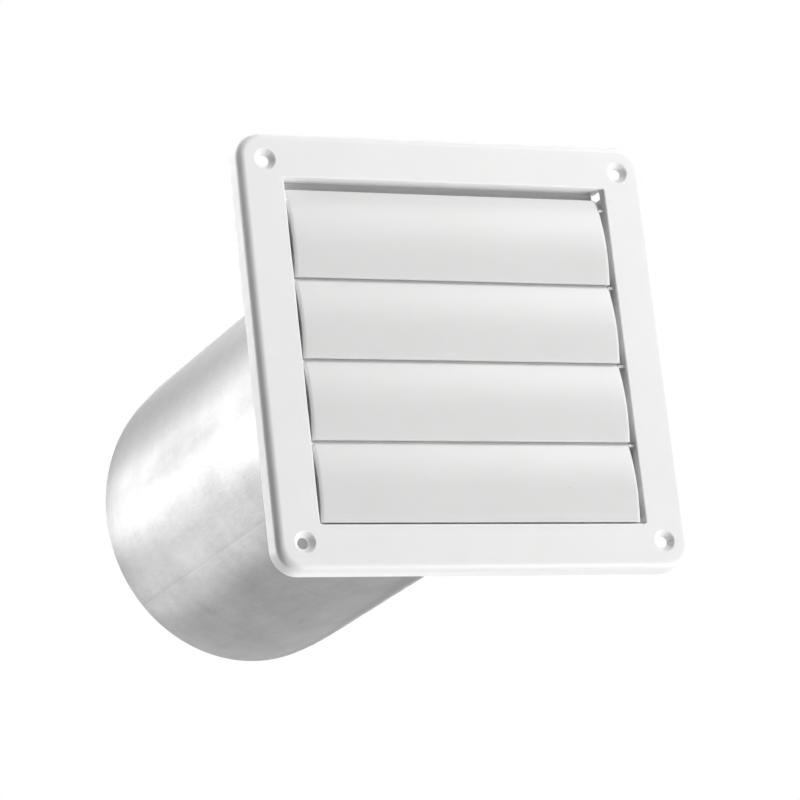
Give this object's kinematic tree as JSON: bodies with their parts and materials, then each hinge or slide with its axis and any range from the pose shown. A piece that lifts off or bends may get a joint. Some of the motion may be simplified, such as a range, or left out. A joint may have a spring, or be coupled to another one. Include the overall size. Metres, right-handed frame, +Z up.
{
  "type": "louvred wall vent",
  "caption": "Square wall vent hood with curved gravity louvres hinged one above another in its opening, on a thin round metal tail pipe for a duct.",
  "frame": {"origin": "on the pipe's axis at the wall plane, where the hood's rear rim meets the wall", "axes": "+X to the right seen from outside, +Y into the wall along the pipe, +Z up"},
  "size_m": [0.1352, 0.188, 0.1352],
  "materials": {
    "hood": "satin",
    "louvre": "satin",
    "tail_pipe": "mill"
  },
  "bodies": {
    "hood": {"hood": "hood", "tail_pipe": "tail_pipe"},
    "louvre_1": {"louvre_1": "louvre"},
    "louvre_2": {"louvre_2": "louvre"},
    "louvre_3": {"louvre_3": "louvre"},
    "louvre_4": {"louvre_4": "louvre"}
  },
  "joints": [
    {"name": "louvre_1_hinge", "type": "hinge", "parent": "hood", "child": "louvre_1", "pos_m": [0, -0.00522, 0.04657], "axis": [-1, 0, 0], "range_deg": [0, 65]},
    {"name": "louvre_2_hinge", "type": "hinge", "parent": "hood", "child": "louvre_2", "pos_m": [0, -0.00522, 0.0215], "axis": [-1, 0, 0], "range_deg": [0, 65]},
    {"name": "louvre_3_hinge", "type": "hinge", "parent": "hood", "child": "louvre_3", "pos_m": [0, -0.00522, -0.00357], "axis": [-1, 0, 0], "range_deg": [0, 65]},
    {"name": "louvre_4_hinge", "type": "hinge", "parent": "hood", "child": "louvre_4", "pos_m": [0, -0.00522, -0.02864], "axis": [-1, 0, 0], "range_deg": [0, 65]}
  ]
}
